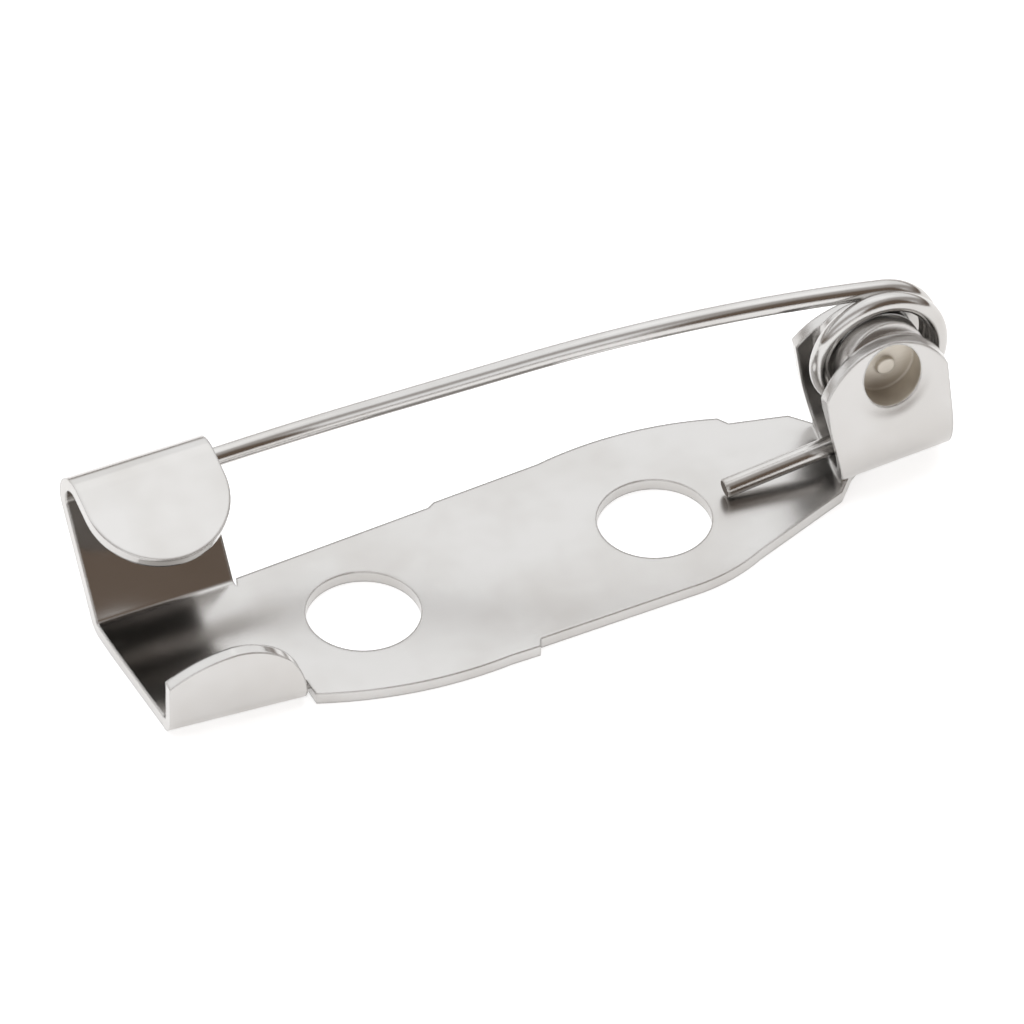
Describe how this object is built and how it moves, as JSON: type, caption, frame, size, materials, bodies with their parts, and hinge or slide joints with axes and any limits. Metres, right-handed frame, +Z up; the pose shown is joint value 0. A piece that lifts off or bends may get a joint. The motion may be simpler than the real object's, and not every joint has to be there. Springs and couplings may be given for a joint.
{
  "type": "brooch pin finding",
  "caption": "Flat brooch back: a folded sheet base with round holes, a rolled open catch and two ears, and a coiled spring-wire pin that swings open between the ears",
  "frame": {"origin": "on the flat glue face, midway between the two holes", "axes": "+X from the catch to the hinge along the row of holes, +Y to the back edge where the catch's wall stands, +Z up out of the plate, away from the glue face"},
  "size_m": [0.0201, 0.0069, 0.005],
  "materials": {
    "plated_sheet": "bright nickel plate on pressed sheet",
    "plated_wire": "bright nickel plate on drawn spring wire"
  },
  "bodies": {
    "base": {"base_plate": "plated_sheet"},
    "pin": {"pin_wire": "plated_wire"}
  },
  "joints": [
    {"name": "pin_swing", "type": "hinge", "parent": "base", "child": "pin", "pos_m": [0.00915, 0.00032, 0.0031], "axis": [0, 1, 0], "range_deg": [0, 96]}
  ]
}
